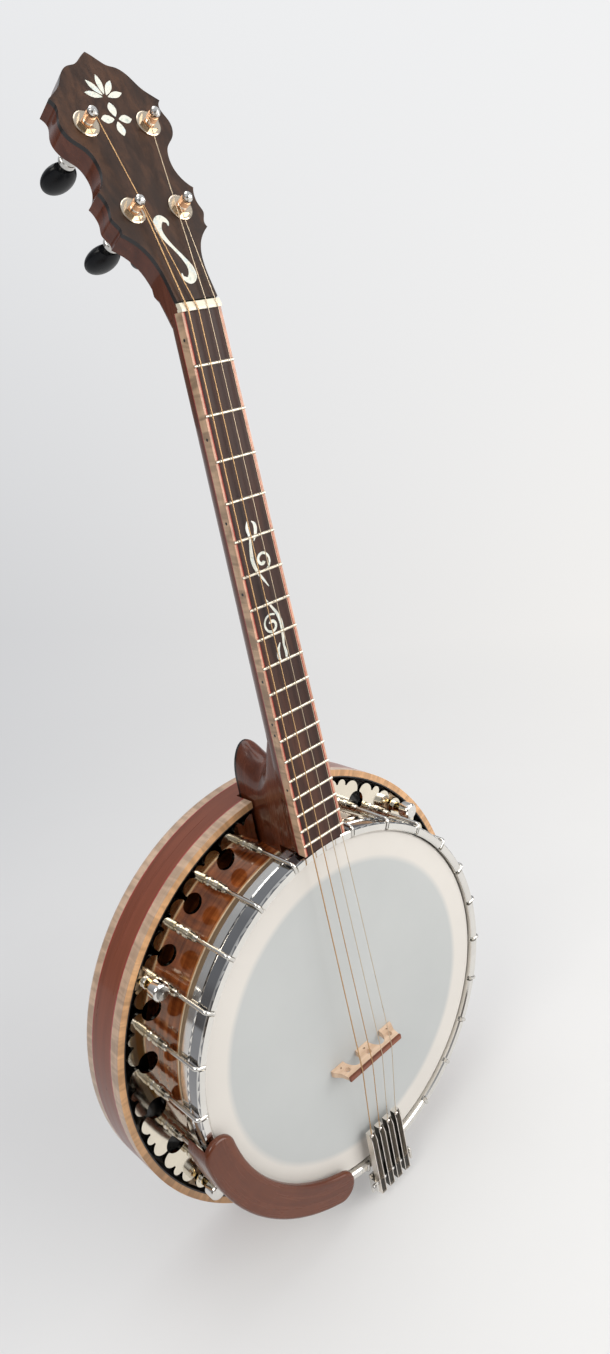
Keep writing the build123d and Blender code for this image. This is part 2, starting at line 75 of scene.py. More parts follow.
# (across, along the headstock) of each tuner's axis
TUNERS = [(-0.0168, 0.0597), (-0.0214, 0.1133), (0.0214, 0.1133), (0.0168, 0.0597)]
BOARD_Y_NUT = 0.01134 + SKIN_PLANE_Y
BOARD_SLOPE = -0.0482  # y over z, towards the pot
BOARD_HALF_NUT, BOARD_HALF_END = 0.01465, 0.0195
BOARD_TAPER = (BOARD_HALF_END - BOARD_HALF_NUT) / (NUT_Z - BOARD_END_Z)


def board_point(x, z, lift=0.0):
    """A point over the fingerboard's face."""
    return Vector((x, BOARD_Y_NUT + BOARD_SLOPE * (NUT_Z - z) - lift, z))


def peg_point(x, up, lift=0.0):
    """A point over the headstock's face."""
    along = Vector((0, sin(PEG_TILT), cos(PEG_TILT)))
    normal = Vector((0, -cos(PEG_TILT), sin(PEG_TILT)))
    return PEG_ORIGIN + Vector((x, 0, 0)) + up * along + lift * normal


PEG_NORMAL = peg_point(0, 0, 1) - peg_point(0, 0, 0)


# ------------------------------------------------------------------ materials
# painted shade: black for the inner faces of the closed resonator
INSIDE_PAINTED_SHADE = (0.006, 0.006, 0.006)
PLATE_TINT = (0.80, 0.78, 0.74)


def set_stops(ramp, stops):
    """Fills a colour ramp node from (position, colour) pairs."""
    elements = ramp.color_ramp.elements
    while len(elements) < len(stops):
        elements.new(0.5)
    for element, (at, colour) in zip(elements, stops):
        element.position = at
        element.color = (*colour, 1)


class Look:
    """A node material under construction."""

    def __init__(self, name, **sockets):
        self.mat = bpy.data.materials.new(name)
        self.mat.use_nodes = True
        self.tree = self.mat.node_tree
        self.shader = self.tree.nodes["Principled BSDF"]
        for key, value in sockets.items():
            self.shader.inputs[key.replace("_", " ")].default_value = value

    def node(self, kind, **settings):
        n = self.tree.nodes.new("ShaderNode" + kind)
        for key, value in settings.items():
            setattr(n, key, value)
        return n

    def join(self, source, target):
        self.tree.links.new(source, target)
        return target

    def value(self, target, source):
        """Sets a socket from a number, colour or another socket."""
        if isinstance(source, bpy.types.NodeSocket):
            self.tree.links.new(source, target)
        else:
            target.default_value = source

    def math(self, operation, a, b=0.0):
        n = self.node("Math", operation=operation)
        self.value(n.inputs[0], a)
        self.value(n.inputs[1], b)
        return n.outputs[0]

    def place(self):
        """The point on the surface, in the object's own metres."""
        return self.node("TexCoord").outputs["Object"]

    def parts(self, vector):
        n = self.node("SeparateXYZ")
        self.join(vector, n.inputs[0])
        return n.outputs[0], n.outputs[1], n.outputs[2]

    def vector(self, x, y, z):
        n = self.node("CombineXYZ")
        for socket, source in zip(n.inputs, (x, y, z)):
            self.value(socket, source)
        return n.outputs[0]

    def scaled(self, vector, factors):
        n = self.node("VectorMath", operation="MULTIPLY")
        self.join(vector, n.inputs[0])
        n.inputs[1].default_value = factors
        return n.outputs[0]

    def radius(self):
        """Distance from the pot's axis."""
        x, _, z = self.parts(self.place())
        return self.math("SQRT", self.math("ADD", self.math("MULTIPLY", x, x), self.math("MULTIPLY", z, z)))

    def polar(self, mean_radius):
        """(distance along the circle, y, radius) about the pot's axis."""
        x, y, z = self.parts(self.place())
        angle = self.math("ARCTAN2", x, z)
        return self.vector(self.math("MULTIPLY", angle, mean_radius), y, self.radius())

    def noise(self, vector, scale, detail=3.0, rough=0.5, distort=0.0):
        n = self.node("TexNoise")
        self.join(vector, n.inputs["Vector"])
        n.inputs["Scale"].default_value = scale
        n.inputs["Detail"].default_value = detail
        n.inputs["Roughness"].default_value = rough
        n.inputs["Distortion"].default_value = distort
        return n.outputs["Fac"]

    def ramp(self, source, *stops):
        n = self.node("ValToRGB")
        self.join(source, n.inputs[0])
        set_stops(n, stops)
        return n.outputs[0]

    def spread(self, source, low, high, to_low=0.0, to_high=1.0):
        n = self.node("MapRange")
        self.join(source, n.inputs[0])
        for k, value in enumerate((low, high, to_low, to_high)):
            n.inputs[k + 1].default_value = value
        return n.outputs[0]

    def mix(self, fac, a, b, blend="MIX"):
        n = self.node("Mix", data_type="RGBA", blend_type=blend)
        self.value(n.inputs[0], fac)
        for socket, source in ((n.inputs[6], a), (n.inputs[7], b)):
            if isinstance(source, tuple):
                source = (*source, 1)
            self.value(socket, source)
        return n.outputs[2]

    def bump(self, height, strength, distance):
        n = self.node("Bump")
        n.inputs["Strength"].default_value = strength
        n.inputs["Distance"].default_value = distance
        self.join(height, n.inputs["Height"])
        self.join(n.outputs[0], self.shader.inputs["Normal"])

    def colour(self, source):
        self.join(source, self.shader.inputs["Base Color"])

    def painted(self):
        """The colour that is joined to the shader so far."""
        return self.shader.inputs["Base Color"].links[0].from_socket

    def rough(self, source):
        self.join(source, self.shader.inputs["Roughness"])


def grain_space(look, run, mean_radius=0.17):
    """Coordinates whose first part runs along the grain."""
    if run == "ring":
        return look.polar(mean_radius)
    x, y, z = look.parts(look.place())
    if run == "book":
        x = look.math("ABSOLUTE", x)
    return look.vector(x, y, z) if run == "x" else look.vector(z, y, x)


def wood(name, dark, mid, light, run="z", roughness=0.28, coat=0.0, curl=0.0, figure=0.3, pores=0.25,
         mean_radius=0.17):
    """Wood with streaks along its grain, fine pores and, where it is curly, bands across the grain."""
    look = Look(name, Coat_Weight=coat, Coat_Roughness=0.06, Specular_IOR_Level=0.3)
    space = grain_space(look, run, mean_radius)
    streaks = look.noise(look.scaled(space, (9, 160, 160)), 1.0, 5, 0.62, 0.35)
    broad = look.noise(look.scaled(space, (3.5, 42, 42)), 1.0, 2, 0.5, 0.8)
    both = look.math("ADD", look.math("MULTIPLY", streaks, 1 - figure), look.math("MULTIPLY", broad, figure))
    body = look.ramp(both, (0.34, dark), (0.5, mid), (0.68, light))
    if curl:
        bands = look.noise(look.scaled(space, (150, 26, 26)), 1.0, 2, 0.55, 0.9)
        shade = look.spread(bands, 0.38, 0.62, 1 - curl, 1 + 0.35 * curl)
        body = look.mix(1.0, body, look.vector(shade, shade, shade), "MULTIPLY")
    fine = look.noise(look.scaled(space, (60, 1400, 1400)), 1.0, 2, 0.6)
    pore = look.spread(fine, 0.56, 0.72, 0, pores)
    body = look.mix(pore, body, tuple(0.45 * c for c in dark))
    look.colour(body)
    look.rough(look.spread(streaks, 0.3, 0.7, roughness * 0.85, roughness * 1.25))
    look.bump(fine, 0.12, 0.00012)
    return look


def nickel(name, colour=PLATE_TINT, roughness=0.09, wear=0.05):
    """Polished plate with soft smears and hairline scratches."""
    look = Look(name, Metallic=1.0)
    place = look.place()
    smear = look.noise(place, 60, 4, 0.6, 0.4)
    hair = look.noise(look.scaled(place, (2600, 300, 900)), 1.0, 2, 0.5)
    tint = look.ramp(smear, (0.35, tuple(0.93 * c for c in colour)), (0.65, colour))
    look.colour(tint)
    both = look.math("ADD", look.math("MULTIPLY", smear, 0.7), look.math("MULTIPLY", hair, 0.3))
    look.rough(look.spread(both, 0.35, 0.7, roughness, roughness + wear))
    look.bump(look.noise(place, 900, 2, 0.5), 0.015, 0.0001)
    return look


def plain(name, colour, roughness, coat=0.0, mottle=0.12, shine=0.5):
    """A moulded, cut or enamelled material with slight unevenness."""
    look = Look(name, Coat_Weight=coat, Coat_Roughness=0.08, Specular_IOR_Level=shine)
    place = look.place()
    cloud = look.noise(place, 140, 4, 0.6)
    look.colour(look.ramp(cloud, (0.3, tuple((1 - mottle) * c for c in colour)), (0.7, colour)))
    look.rough(look.spread(cloud, 0.3, 0.7, roughness * 0.85, roughness * 1.2))
    look.bump(look.noise(place, 900, 3, 0.6), 0.15, 0.00006)
    return look


def skin_material():
    """Frosted skin: cream where it lies on the tone ring, cool grey over the open pot."""
    look = Look("skin_coat")
    place = look.place()
    radius = look.radius()
    wobble = look.math("MULTIPLY", look.math("SUBTRACT", look.noise(place, 22, 2, 0.5), 0.5), 0.0012)
    edge = look.math("ADD", radius, wobble)
    cloud = look.noise(place, 9, 4, 0.55)
    centre = look.ramp(cloud, (0.3, (0.405, 0.418, 0.415)), (0.7, (0.44, 0.452, 0.448)))
    outer = look.ramp(cloud, (0.3, (0.56, 0.532, 0.495)), (0.7, (0.61, 0.58, 0.54)))
    look.colour(look.mix(look.spread(edge, 0.1165, 0.1215), centre, outer))
    speck = look.noise(place, 2600, 2, 0.7)
    look.rough(look.spread(speck, 0.3, 0.7, 0.38, 0.52))
    look.bump(speck, 0.22, 0.00012)
    return look


def shaded_inside_shell(look, inside_radius):
    """Paints the inner face of a ring black, as painted shade."""
    inner = look.math("LESS_THAN", look.radius(), inside_radius)
    look.colour(look.mix(inner, look.painted(), INSIDE_PAINTED_SHADE))
    return look


def front_faced(look):
    """Gives the front binding's face a warmer colour than its sides."""
    _, y, _ = look.parts(look.place())
    colour = look.painted()
    face = look.math("LESS_THAN", y, RES_FRONT_Y + 0.0003)
    warm = look.mix(1.0, colour, (1.12, 0.92, 0.66), "MULTIPLY")
    look.colour(look.mix(face, colour, warm))
    return look


def back_plate_material():
    """Two mirrored leaves of curly mahogany, with black painted shade on the inside."""
    look = wood("mahogany_back", (0.085, 0.020, 0.010), (0.16, 0.042, 0.019), (0.24, 0.072, 0.034), "book", 0.22,
                0.8, curl=0.18, figure=0.45)
    _, y, _ = look.parts(look.place())
    inner = look.math("LESS_THAN", y, PLATE_Y + 0.0006)
    look.colour(look.mix(inner, look.painted(), INSIDE_PAINTED_SHADE))
    return look


def pearl():
    """Mother of pearl, in soft sheets of green, cream and blue."""
    look = Look("pearl_inlay", Coat_Weight=0.8, Coat_Roughness=0.05)
    place = look.place()
    sheets = look.noise(place, 210, 3, 0.55, 1.6)
    look.colour(look.ramp(sheets, (0.30, (0.38, 0.43, 0.39)), (0.42, (0.60, 0.64, 0.57)),
                          (0.52, (0.74, 0.70, 0.60)), (0.62, (0.52, 0.60, 0.60)), (0.74, (0.76, 0.76, 0.68))))
    look.rough(look.spread(sheets, 0.3, 0.7, 0.16, 0.32))
    return look


def edge_lined(look):
    """A thin red line along both edges of the fingerboard's dark wood."""
    side_strip, line_width = 0.0016, 0.0006
    x, _, z = look.parts(look.place())
    reach = look.math("ADD", look.math("ABSOLUTE", x), look.math("MULTIPLY", z, BOARD_TAPER))
    line = look.math("GREATER_THAN", reach, BOARD_HALF_NUT - side_strip + BOARD_TAPER * NUT_Z - line_width)
    look.colour(look.mix(line, look.painted(), (0.36, 0.045, 0.035)))
    return look


def knurled_screw():
    """Nickel thumbscrew with a knurled brass-gold neck."""
    look = nickel("thumbscrew_plate", PLATE_TINT, 0.13, 0.06)
    _, y, _ = look.parts(look.place())
    low, high = FLANGE_Y - 0.0086, FLANGE_Y - 0.0022
    neck = look.math("MULTIPLY", look.math("GREATER_THAN", y, low), look.math("LESS_THAN", y, high))
    look.colour(look.mix(neck, look.painted(), (0.83, 0.60, 0.27)))
    lines = look.noise(look.scaled(look.place(), (1500, 260, 1500)), 1.0, 1, 0.5)
    look.bump(look.math("MULTIPLY", lines, neck), 0.5, 0.0004)
    return look


def wound_string():
    """Bronze wire wound round a steel core."""
    look = Look("bronze_winding", Metallic=1.0)
    turns = look.node("TexWave", wave_profile="SIN", bands_direction="Z")
    turns.inputs["Scale"].default_value = 700
    look.join(look.place(), turns.inputs["Vector"])
    look.colour(look.mix(turns.outputs["Fac"], (0.34, 0.19, 0.08), (0.78, 0.52, 0.28)))
    look.rough(look.spread(turns.outputs["Fac"], 0, 1, 0.42, 0.24))
    look.bump(turns.outputs["Fac"], 0.5, 0.00008)
    return look


LOOKS = {
    "mahogany": wood("mahogany_gloss", (0.055, 0.012, 0.005), (0.090, 0.022, 0.009), (0.13, 0.036, 0.016), "z",
                     0.24, 0.4),
    "rim_wood": wood("rim_gloss", (0.075, 0.016, 0.005), (0.20, 0.050, 0.013), (0.38, 0.115, 0.030), "ring", 0.12,
                     1.0, curl=0.3, mean_radius=0.14),
    "wall_wood": shaded_inside_shell(wood("wall_gloss", (0.15, 0.038, 0.017), (0.19, 0.050, 0.023), (0.23, 0.064, 0.031),
                                  "ring", 0.30, 0.18, figure=0.5), RES_IN + 0.0008),
    "back_wood": back_plate_material(),
    "curly_ring": shaded_inside_shell(front_faced(wood("curly_maple_ring", (0.44, 0.29, 0.20), (0.53, 0.37, 0.26),
                                               (0.60, 0.44, 0.32), "ring", 0.30, 0.2, curl=0.24, pores=0.1)),
                              RES_IN + 0.00005),
    "curly": wood("curly_maple", (0.34, 0.22, 0.13), (0.46, 0.31, 0.20), (0.56, 0.40, 0.27), "z", 0.28, 0.25,
                  curl=0.38, pores=0.15),
    "rosewood": edge_lined(wood("rosewood_board", (0.012, 0.004, 0.003), (0.036, 0.013, 0.008),
                                (0.080, 0.030, 0.018), "z", 0.5, figure=0.6, pores=0.5)),
    "overlay": wood("rosewood_overlay", (0.009, 0.004, 0.002), (0.028, 0.011, 0.0045), (0.075, 0.030, 0.012), "z",
                    0.42, 0.05, figure=0.5, pores=0.4),
    "maple": wood("bridge_maple", (0.56, 0.38, 0.26), (0.68, 0.50, 0.36), (0.76, 0.60, 0.45), "x", 0.42, 0.1,
                  pores=0.2),
    "cap_wood": wood("cap_rosewood", (0.10, 0.028, 0.015), (0.19, 0.060, 0.032), (0.27, 0.095, 0.050), "x", 0.40,
                     0.1),
    "rest_wood": wood("armrest_gloss", (0.080, 0.019, 0.007), (0.108, 0.028, 0.010), (0.140, 0.040, 0.016), "ring",
                      0.26, 0.3, figure=0.5, curl=0.06, mean_radius=0.145),
    "lug_wood": wood("lug_maple", (0.40, 0.27, 0.16), (0.55, 0.40, 0.26), (0.66, 0.50, 0.34), "x", 0.45),
    "cap_line": wood("line_maple", (0.55, 0.42, 0.28), (0.70, 0.56, 0.38), (0.80, 0.68, 0.50), "ring", 0.3, 0.8),
    "amber": wood("line_amber", (0.34, 0.12, 0.03), (0.44, 0.17, 0.045), (0.52, 0.22, 0.07), "ring", 0.3, 0.8),
    # painted light: a salmon-orange copy of the curly maple for the lit top face of the fingerboard's side strips
    "binding_top_painted_light": wood("binding_edge_painted_light", (0.42, 0.20, 0.13), (0.56, 0.29, 0.19), (0.66, 0.38, 0.26), "z", 0.3, 0.3,
                        curl=0.2),
    "red": plain("red_veneer_gloss", (0.36, 0.018, 0.022), 0.3, coat=1.0),
    "black_wood": plain("black_veneer_gloss", (0.009, 0.007, 0.007), 0.3, coat=0.15),
    "bone": plain("bone_nut", (0.76, 0.70, 0.56), 0.32, coat=0.3, mottle=0.10),
    "knob": plain("knob_black", (0.003, 0.004, 0.006), 0.3, mottle=0.3, shine=0.2),
    "dot": plain("dot_black", (0.012, 0.012, 0.012), 0.3),
    "pearl": pearl(),
    "skin": skin_material(),
    "nickel": nickel("nickel_plate"),
    "nickel_dark": nickel("nickel_plate_fittings", (0.72, 0.70, 0.66), 0.14, 0.08),
    # painted reflection: dark nickel on the hoop's sunk band stands in for the darker things it mirrors
    "panel_painted_reflection": nickel("nickel_panel_painted_reflection", (0.33, 0.33, 0.335), 0.07, 0.03),
    # painted reflection: the flange's nickel is tinted warm to stand in for the rim wood and binding it mirrors
    "flange_painted_reflection": nickel("flange_plate_painted_reflection", (0.86, 0.79, 0.66), 0.07, 0.04),
    # painted reflection: the ferrules' nickel is tinted brownish to stand in for the golden reflections of the rim
    "ferrule_painted_reflection": nickel("ferrule_painted_reflection", (0.60, 0.55, 0.46), 0.12, 0.06),
    "finger_plate": nickel("finger_plate", (0.90, 0.84, 0.77), 0.32, 0.08),
    # painted shade: near-black nickel for the deep channel floor and inner flanks of each tailpiece finger
    "channel": nickel("channel_painted_shade", (0.07, 0.065, 0.058), 0.30, 0.1),
    # painted reflection: gold-brown plate on the tuner washers and bushings stands in for what they mirror
    "gold_brown_painted_reflection": nickel("washer_plate_painted_reflection", (0.85, 0.72, 0.56), 0.16, 0.08),
    "screw": knurled_screw(),
    "steel": nickel("brushed_steel", (0.52, 0.51, 0.50), 0.30, 0.12),
    "tone_brass": nickel("bell_brass", (0.66, 0.49, 0.24), 0.32, 0.12),
    "fret_wire": nickel("nickel_silver", (0.62, 0.56, 0.46), 0.26, 0.10),
    "plain_string": nickel("string_steel", (0.62, 0.50, 0.36), 0.26, 0.10),
    "copper": nickel("copper_winding", (0.72, 0.42, 0.24), 0.30, 0.10),
    "wound_string": wound_string(),
}

NODE_LOOKS = {
    "rim": "rim_wood", "rim_cap_line": "cap_line", "tone_ring": "tone_brass", "head": "skin",
    "flesh_hoop": "steel", "tension_hoop": "nickel", "bracket_hooks": "nickel_dark",
    "hook_ferrules": "ferrule_painted_reflection", "bracket_nuts": "nickel_dark", "flange": "flange_painted_reflection",
    "coordinator_rods": "steel", "coordinator_nuts": "steel", "tailpiece_bracket": "nickel",
    "tailpiece_pivot_rod": "steel", "armrest": "rest_wood", "armrest_clamps": "nickel_dark",
    "armrest_screws": "steel", "bridge": "maple", "bridge_cap": "cap_wood", "neck": "mahogany",
    "heel_cap": "black_wood", "truss_rod": "steel",
    "fingerboard": "rosewood", "fingerboard_sides": "curly", "neck_red_veneer": "red", "frets": "fret_wire",
    "side_dots": "dot", "nut": "bone", "headstock_overlay": "overlay", "headstock_veneer": "black_wood",
    "tuner_washers": "gold_brown_painted_reflection", "tuner_bushings": "gold_brown_painted_reflection", "tuner_housings": "nickel_dark",
    "resonator_front_binding": "curly_ring", "resonator_wall": "wall_wood", "resonator_back_binding": "curly_ring",
    "resonator_back_plate": "back_wood", "resonator_lugs": "lug_wood",
}
for number in range(1, 5):
    NODE_LOOKS[f"tailpiece_finger_{number}"] = "finger_plate"
    NODE_LOOKS[f"tuner_post_{number}"] = "nickel"
    NODE_LOOKS[f"tuner_button_{number}"] = "knob"
    NODE_LOOKS[f"thumbscrew_{number}"] = "screw"
    NODE_LOOKS[f"string_{number}"] = "wound_string" if number <= 2 else "plain_string"


def dress(node, look):
    """Gives a CAD node one look."""
    mesh = nodes[node].data
    mesh.materials.clear()
    mesh.materials.append(LOOKS[look].mat)


def second_look(node, look, chosen):
    """Gives the faces of a CAD node that chosen(face) picks another look."""
    mesh = nodes[node].data
    mesh.materials.append(LOOKS[look].mat)
    for face in mesh.polygons:
        face.material_index = 1 if chosen(face) else 0


def ease(node, width):
    """Rounds a CAD node's sharp edges, so that they catch the light."""
    bevel = nodes[node].modifiers.new("eased_edges", "BEVEL")
    bevel.width = width
    bevel.segments = 2
    bevel.limit_method = "ANGLE"
    bevel.angle_limit = radians(35)


def in_channel(face):
    """The floor of a tailpiece finger's channel, and the flanks that face another finger, which get painted shade.
    """
    floor = face.normal.y < -0.9 and face.center.y > TAIL_TOP_Y + 0.0007
    x = face.center.x
    middle = (x // FINGER_STEP + 0.5) * FINGER_STEP
    return floor or (face.normal.x * (x - middle) > 0.002 and abs(x) < 1.7 * FINGER_STEP)


def on_panel(face):
    """The hoop's sunk outer band, which gets a painted dark reflection."""
    radius = sqrt(face.center.x ** 2 + face.center.z ** 2)
    return HOOP_OUT - 0.0008 < radius < HOOP_OUT - 0.0004


def on_stem(face):
    """The part of a tuner's knob that is its metal stem."""
    return (face.center - PEG_ORIGIN).dot(PEG_NORMAL) > PEG_BACK - STEM_REACH


for node, look in NODE_LOOKS.items():
    dress(node, look)
for number in range(1, 5):
    second_look(f"tuner_button_{number}", "nickel_dark", on_stem)
    second_look(f"tailpiece_finger_{number}", "channel", in_channel)
    ease(f"tailpiece_finger_{number}", 0.00015)
second_look("tension_hoop", "panel_painted_reflection", on_panel)
# the side strips' top faces get the painted light copy of the maple
second_look("fingerboard_sides", "binding_top_painted_light", lambda face: face.normal.y < -0.9)
second_look("headstock_overlay", "black_wood", lambda face: abs(face.normal.dot(PEG_NORMAL)) < 0.9)
for node, width in (("flange", 0.0005), ("tension_hoop", 0.0003), ("armrest_clamps", 0.0003),
                    ("heel_cap", 0.0005), ("bridge", 0.0003), ("bridge_cap", 0.0003), ("nut", 0.0004),
                    ("bracket_nuts", 0.0003), ("headstock_overlay", 0.00025), ("resonator_front_binding", 0.0005),
                    ("tuner_bushings", 0.0003)):
    ease(node, width)


# ------------------------------------------------------------------ pieces
PROUD = 0.00006  # how far a line or an inlay stands over its surface
SUNK = 0.0006  # how deep it goes in


def piece(name, verts, faces, look, body, smooth=True):
    """A mesh of its own that rides a body."""
    mesh = bpy.data.meshes.new(name)
    mesh.from_pydata([tuple(v) for v in verts], [], faces)
    bm = bmesh.new()
    bm.from_mesh(mesh)
    bmesh.ops.recalc_face_normals(bm, faces=bm.faces)
    bm.to_mesh(mesh)
    bm.free()
    if smooth:
        mesh.shade_smooth()
        mesh.set_sharp_from_angle(angle=radians(40))
    mesh.materials.append(LOOKS[look].mat)
    obj = bpy.data.objects.new(name, mesh)
    bpy.context.scene.collection.objects.link(obj)
    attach(obj, body)


def turned(name, profile, look, body, start=0.0, sweep=tau):
    """A closed profile in (radius, y), turned about the pot's axis."""
    steps = 240
    whole = sweep >= tau - 1e-6
    count = steps if whole else steps + 1
    verts, faces = [], []
    for k in range(count):
        a = start + sweep * k / steps
        verts += [(r * sin(a), y, r * cos(a)) for r, y in profile]
    n = len(profile)
    for k in range(steps):
        here, there = k * n, ((k + 1) % count) * n
        for j in range(n):
            faces.append((here + j, here + (j + 1) % n, there + (j + 1) % n, there + j))
    if not whole:
        faces += [tuple(range(n)), tuple(range((count - 1) * n, count * n))]
    piece(name, verts, faces, look, body)


def spline(points):
    """A smooth line through points, as a list of Vectors."""
    steps = 10
    p = [Vector(v) for v in points]
    p = [2 * p[0] - p[1]] + p + [2 * p[-1] - p[-2]]
    line = []
    for a, b, c, d in zip(p, p[1:], p[2:], p[3:]):
        for k in range(steps):
            t = k / steps
            line.append(0.5 * ((2 * b) + (c - a) * t + (2 * a - 5 * b + 4 * c - d) * t * t
                               + (3 * b - a - 3 * c + d) * t ** 3))
    return line + [p[-2]]


def inlay(name, points, place):
    """A flat stroke of pearl through (across, along, half width) points, set into a face."""
    line = spline(points)
    verts, faces = [], []
    for k, v in enumerate(line):
        ahead = line[min(k + 1, len(line) - 1)] - line[max(k - 1, 0)]
        side = Vector((-ahead.y, ahead.x)).normalized() * max(v.z, 0.00005)
        for s in (1, -1):
            for lift in (PROUD, -SUNK):
                verts.append(place(v.x + s * side.x, v.y + s * side.y, lift))
    for k in range(len(line) - 1):
        a, b = 4 * k, 4 * k + 4
        faces += [(a, a + 2, b + 2, b), (a + 1, b + 1, b + 3, a + 3), (a, b, b + 1, a + 1),
                  (a + 2, a + 3, b + 3, b + 2)]
    last = 4 * (len(line) - 1)
    faces += [(0, 1, 3, 2), (last, last + 2, last + 3, last + 1)]
    piece(name, verts, faces, "pearl", ROOT, smooth=False)


# ------------------------------------------------------------------ lines let into the resonator and the rim
NECK_GAP = 0.0905  # half of the angle that the resonator leaves open for the heel


def line_profile(radius, y, width):
    """The section of a thin line on an outer face."""
    return [(radius, y), (radius + PROUD + SUNK, y), (radius + PROUD + SUNK, y + width), (radius, y + width)]


def let_in_lines():
    open_sweep = tau - 2 * NECK_GAP
    turned("wall_line_front", line_profile(RES_OUT - SUNK, WALL_FRONT_Y - 0.0002, 0.0008), "red", "resonator",
           NECK_GAP, open_sweep)
    turned("wall_line_back", line_profile(RES_OUT - SUNK, WALL_BACK_Y - 0.0006, 0.0008), "red", "resonator")
    inner, front = RES_IN - PROUD, RES_FRONT_Y - PROUD
    corner = [(inner, front), (RES_IN + 0.0009, front), (RES_IN + 0.0009, RES_FRONT_Y + 0.0008),
              (inner, RES_FRONT_Y + 0.0008)]
    turned("binding_inner_line", corner, "black_wood", "resonator", NECK_GAP, open_sweep)
    outer, top, low = RIM_OUT + PROUD, RIM_TOP_Y + 0.0015, RIM_TOP_Y + 0.0026
    amber = [(RIM_OUT - 0.0005, top), (outer, top), (outer, low), (RIM_OUT - 0.0005, low)]
    turned("rim_amber_line", amber, "amber", ROOT)


let_in_lines()


# ------------------------------------------------------------------ pearl, and the string wound on the posts
def rotated(points, mid):
    """Stroke points turned half round about (0, mid)."""
    return [(-x, 2 * mid - along, half) for x, along, half in points]


def fan(name, centre, petals, place):
    """Leaf-shaped strokes standing round a centre, from (angle in degrees, length, half width)."""
    for k, (angle, long, half) in enumerate(petals):
        a = radians(angle)
        points = [(centre[0] + t * long * sin(a), centre[1] + t * long * cos(a), half * w)
                  for t, w in ((0.16, 0.15), (0.4, 0.8), (0.66, 1.0), (0.86, 0.6), (1.0, 0.03))]
        inlay(f"{name}_{k + 1}", points, place)


def headstock_inlays():
    """A fan of five leaves, a star of four and one double curve."""
    crown = [(angle, 0.0145 - 0.00002 * abs(angle), 0.0019) for angle in (-76, -38, 0, 38, 76)]
    fan("crown_leaf", (0, 0.1300), crown, peg_point)
    fan("star_leaf", (0.0008, 0.1165), [(angle, 0.0105, 0.0026) for angle in (0, 90, 180, 270)], peg_point)
    middle = 0.0345
    curve = [(0.0028, 0.0492, 0.0003), (0.0030, 0.0520, 0.0012), (-0.0004, 0.0540, 0.0022),
             (-0.0040, 0.0514, 0.0027), (-0.0050, 0.0462, 0.0021), (-0.0030, 0.0402, 0.0014),
             (0.0, middle, 0.0011)]
    inlay("scroll_curve", curve + rotated(curve, middle)[-2::-1], peg_point)


def board_inlays():
    """Two vines, each the other turned half round."""
    middle = 0.3335
    stem = [(-0.0030, 0.3810, 0.0003), (-0.0042, 0.3765, 0.0011), (-0.0038, 0.3700, 0.0008),
            (-0.0050, 0.3630, 0.0012), (-0.0056, 0.3555, 0.0014), (-0.0038, 0.3485, 0.0011),
            (-0.0004, 0.3425, 0.0008), (0.0026, 0.3370, 0.0003)]
    leaf = [(0.0004, 0.3805, 0.0002), (0.0024, 0.3775, 0.0012), (0.0016, 0.3722, 0.0011),
            (-0.0010, 0.3680, 0.0003)]
    curl = []
    for k in range(15):
        a, r = radians(215 - 32 * k), 0.0072 - 0.00042 * k
        curl.append((0.0022 + r * sin(a), 0.3545 + r * cos(a), 0.0006 + 0.00004 * k))
    for name, points in (("vine_stem", stem), ("vine_leaf", leaf), ("vine_curl", curl)):
        inlay(name + "_1", points, board_point)
        inlay(name + "_2", rotated(points, middle), board_point)


def post_windings():
    """Turns of string round each post's waist, riding on the post."""
    low, high, turns, samples = 0.0040, 0.0080, 5, 5
    pitch = (high - low) / turns
    for number, (x, up) in enumerate(TUNERS):
        profile = [(0.00255, low), (0.00255, high)]
        for turn in range(turns):
            for part in range(samples):
                share = (part + 0.5) / samples
                profile.append((0.00295 + 0.00036 * sin(share * tau / 2), high - pitch * (turn + share)))
        steps, verts, faces, n = 48, [], [], len(profile)
        for k in range(steps):
            a = tau * k / steps
            verts += [peg_point(x + r * cos(a), up + r * sin(a), h) for r, h in profile]
            there = ((k + 1) % steps) * n
            faces += [(k * n + j, k * n + (j + 1) % n, there + (j + 1) % n, there + j) for j in range(n)]
        post = number + 1
        piece(f"post_winding_{post}", verts, faces, "copper", f"tuner_post_{post}_body")


headstock_inlays()
board_inlays()
post_windings()

# ------------------------------------------------------------------ camera
VIEW_FROM = (-0.3520, -0.5494, 0.4806)
VIEW_AHEAD, VIEW_UP = Vector((0.591, 0.7314, -0.3403)), Vector((0.3569, 0.1412, 0.9234))
LENS_MM = 24.45


def make_camera():
    data = bpy.data.cameras.new("camera")
    camera = bpy.data.objects.new("camera", data)
    bpy.context.scene.collection.objects.link(camera)
    forward = VIEW_AHEAD.normalized()
    right = forward.cross(VIEW_UP).normalized()
    upward = right.cross(forward)
    turn = Matrix((right, upward, -forward)).transposed()
    camera.matrix_world = Matrix.Translation(VIEW_FROM) @ turn.to_4x4()
    data.lens = LENS_MM
    data.clip_start = 0.01
    bpy.context.scene.camera = camera


# ------------------------------------------------------------------ backdrop, floor, light
# painted light on the backdrop: darker to the left, brighter to the right and above, as the light falls
PALE_LEFT, PALE_RIGHT, PALE_HIGH = (0.63, 0.635, 0.65), (0.90, 0.885, 0.865), (0.89, 0.90, 0.915)
FLOOR_Z = CAD_BOX[0][2] - 0.001
FLOOR_HALF = 9.0


